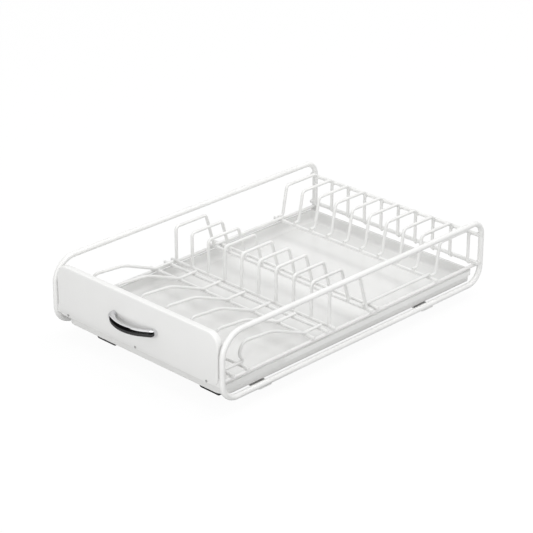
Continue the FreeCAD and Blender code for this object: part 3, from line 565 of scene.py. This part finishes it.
# Drip tray: moulded in white plastic with a glossy inside, a stepped rim, round corners, a cove
# along its floor and two runners under it that slide on the straps.
TRAY_RIM = 0.0065
TRAY_RIM_CORNER = 0.006
TRAY_STEP = 0.0015
TRAY_DRAFT = 0.001
TRAY_WALL = 0.0018
TRAY_CORNERS = (0.0145, 0.0045)          # front and rear, outside under the rim
TRAY_HOLLOW_CORNERS = (0.0127, 0.008)    # front and rear, inside
TRAY_COVE = 0.006
TRAY_FOOT = 0.0006             # rounding along its underside
TRAY_EDGE = 0.0004
TRAY_HEIGHT = 0.0151           # without the runners
HOLLOW_SPARE = 0.005           # the hollow's reach past the rim, for a clean cut
RUNNER_WIDE = 0.008
RUNNER_SPREAD = 0.200
RUNNER_INSET = 0.012
RUNNER_ROUND = 0.001
low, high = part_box("drip_tray")
floor_z = high.z - TRAY_HEIGHT
centre_y = (low.y + high.y) / 2


def tray_block(name, inset, depth, corners, draft=0.0):
    """Block under the rim's top, drawn in by an inset, with round front and rear corners."""
    size_x, size_y = high.x - low.x - 2 * inset, high.y - low.y - 2 * inset
    bpy.ops.mesh.primitive_plane_add(size=1, location=(0, centre_y, high.z))
    block = bpy.context.object
    block.name = name
    block.scale = (size_x, size_y, 1)
    apply_place(block)
    edit(block)
    for side, corner in zip((-1, 1), corners):
        pick(block, lambda co, normal: near(co.y - centre_y, side * size_y / 2))
        bpy.ops.mesh.bevel(offset=corner, segments=8, affect="VERTICES")
    bpy.ops.mesh.select_mode(type="FACE")
    bpy.ops.mesh.select_all(action="SELECT")
    bpy.ops.mesh.extrude_region_move(TRANSFORM_OT_translate={"value": (0, 0, -depth)})
    bpy.ops.transform.resize(value=(1 - 2 * draft / size_x, 1 - 2 * draft / size_y, 1),
                             center_override=(0, centre_y, high.z - depth))
    bpy.ops.mesh.select_all(action="SELECT")
    bpy.ops.mesh.normals_make_consistent(inside=False)
    return block


tray = tray_block("tray_shell", TRAY_STEP, TRAY_HEIGHT, TRAY_CORNERS, TRAY_DRAFT)
bpy.ops.mesh.select_mode(type="EDGE")
pick(tray, lambda co, along: near(co.z, floor_z), "edges")
bpy.ops.mesh.bevel(offset=TRAY_FOOT, segments=2, affect="EDGES")
bpy.ops.object.mode_set(mode="OBJECT")
band = tray_block("rim_band", 0, TRAY_RIM, (TRAY_RIM_CORNER, TRAY_RIM_CORNER))
bpy.ops.object.mode_set(mode="OBJECT")
hollow = tray_block("hollow", TRAY_STEP + TRAY_WALL, TRAY_HEIGHT - TRAY_WALL, TRAY_HOLLOW_CORNERS,
                    TRAY_DRAFT)
bpy.ops.mesh.select_mode(type="EDGE")
pick(hollow, lambda co, along: near(co.z, floor_z + TRAY_WALL), "edges")
bpy.ops.mesh.bevel(offset=TRAY_COVE, segments=6, affect="EDGES")
bpy.ops.mesh.select_mode(type="FACE")
pick(hollow, lambda co, normal: near(co.z, high.z), "faces")
bpy.ops.mesh.extrude_region_move(TRANSFORM_OT_translate={"value": (0, 0, HOLLOW_SPARE)})
bpy.ops.object.mode_set(mode="OBJECT")
modifier(tray, "BOOLEAN", operation="UNION", solver="EXACT", object=band)
modifier(tray, "BOOLEAN", operation="DIFFERENCE", solver="EXACT", object=hollow)
bpy.data.objects.remove(band)
bpy.data.objects.remove(hollow)
modifier(tray, "BEVEL", width=TRAY_EDGE, segments=2, limit_method="ANGLE",
         angle_limit=math.radians(60))
runners = []
for side in (-1, 1):
    bpy.ops.mesh.primitive_cube_add(size=1, location=(side * RUNNER_SPREAD / 2, centre_y,
                                                      (low.z + floor_z) / 2))
    runner = bpy.context.object
    runner.scale = (RUNNER_WIDE, high.y - low.y - 2 * RUNNER_INSET, floor_z - low.z)
    apply_place(runner)
    modifier(runner, "BEVEL", width=RUNNER_ROUND, segments=3)
    runners.append(runner)
tray = join([tray, *runners], "tray_shell")
bpy.ops.object.shade_smooth_by_angle(angle=math.radians(40))
modifier(tray, "WEIGHTED_NORMAL", keep_sharp=True)
tray_white = coated("tray_white", (0.82, 0.82, 0.81), (0.79, 0.79, 0.78), 12, 350, 0.14, 0.22, 0.03,
                    coat=0.3)
settle(tray, "tray", "white_tray", tray_white, "drip_tray")
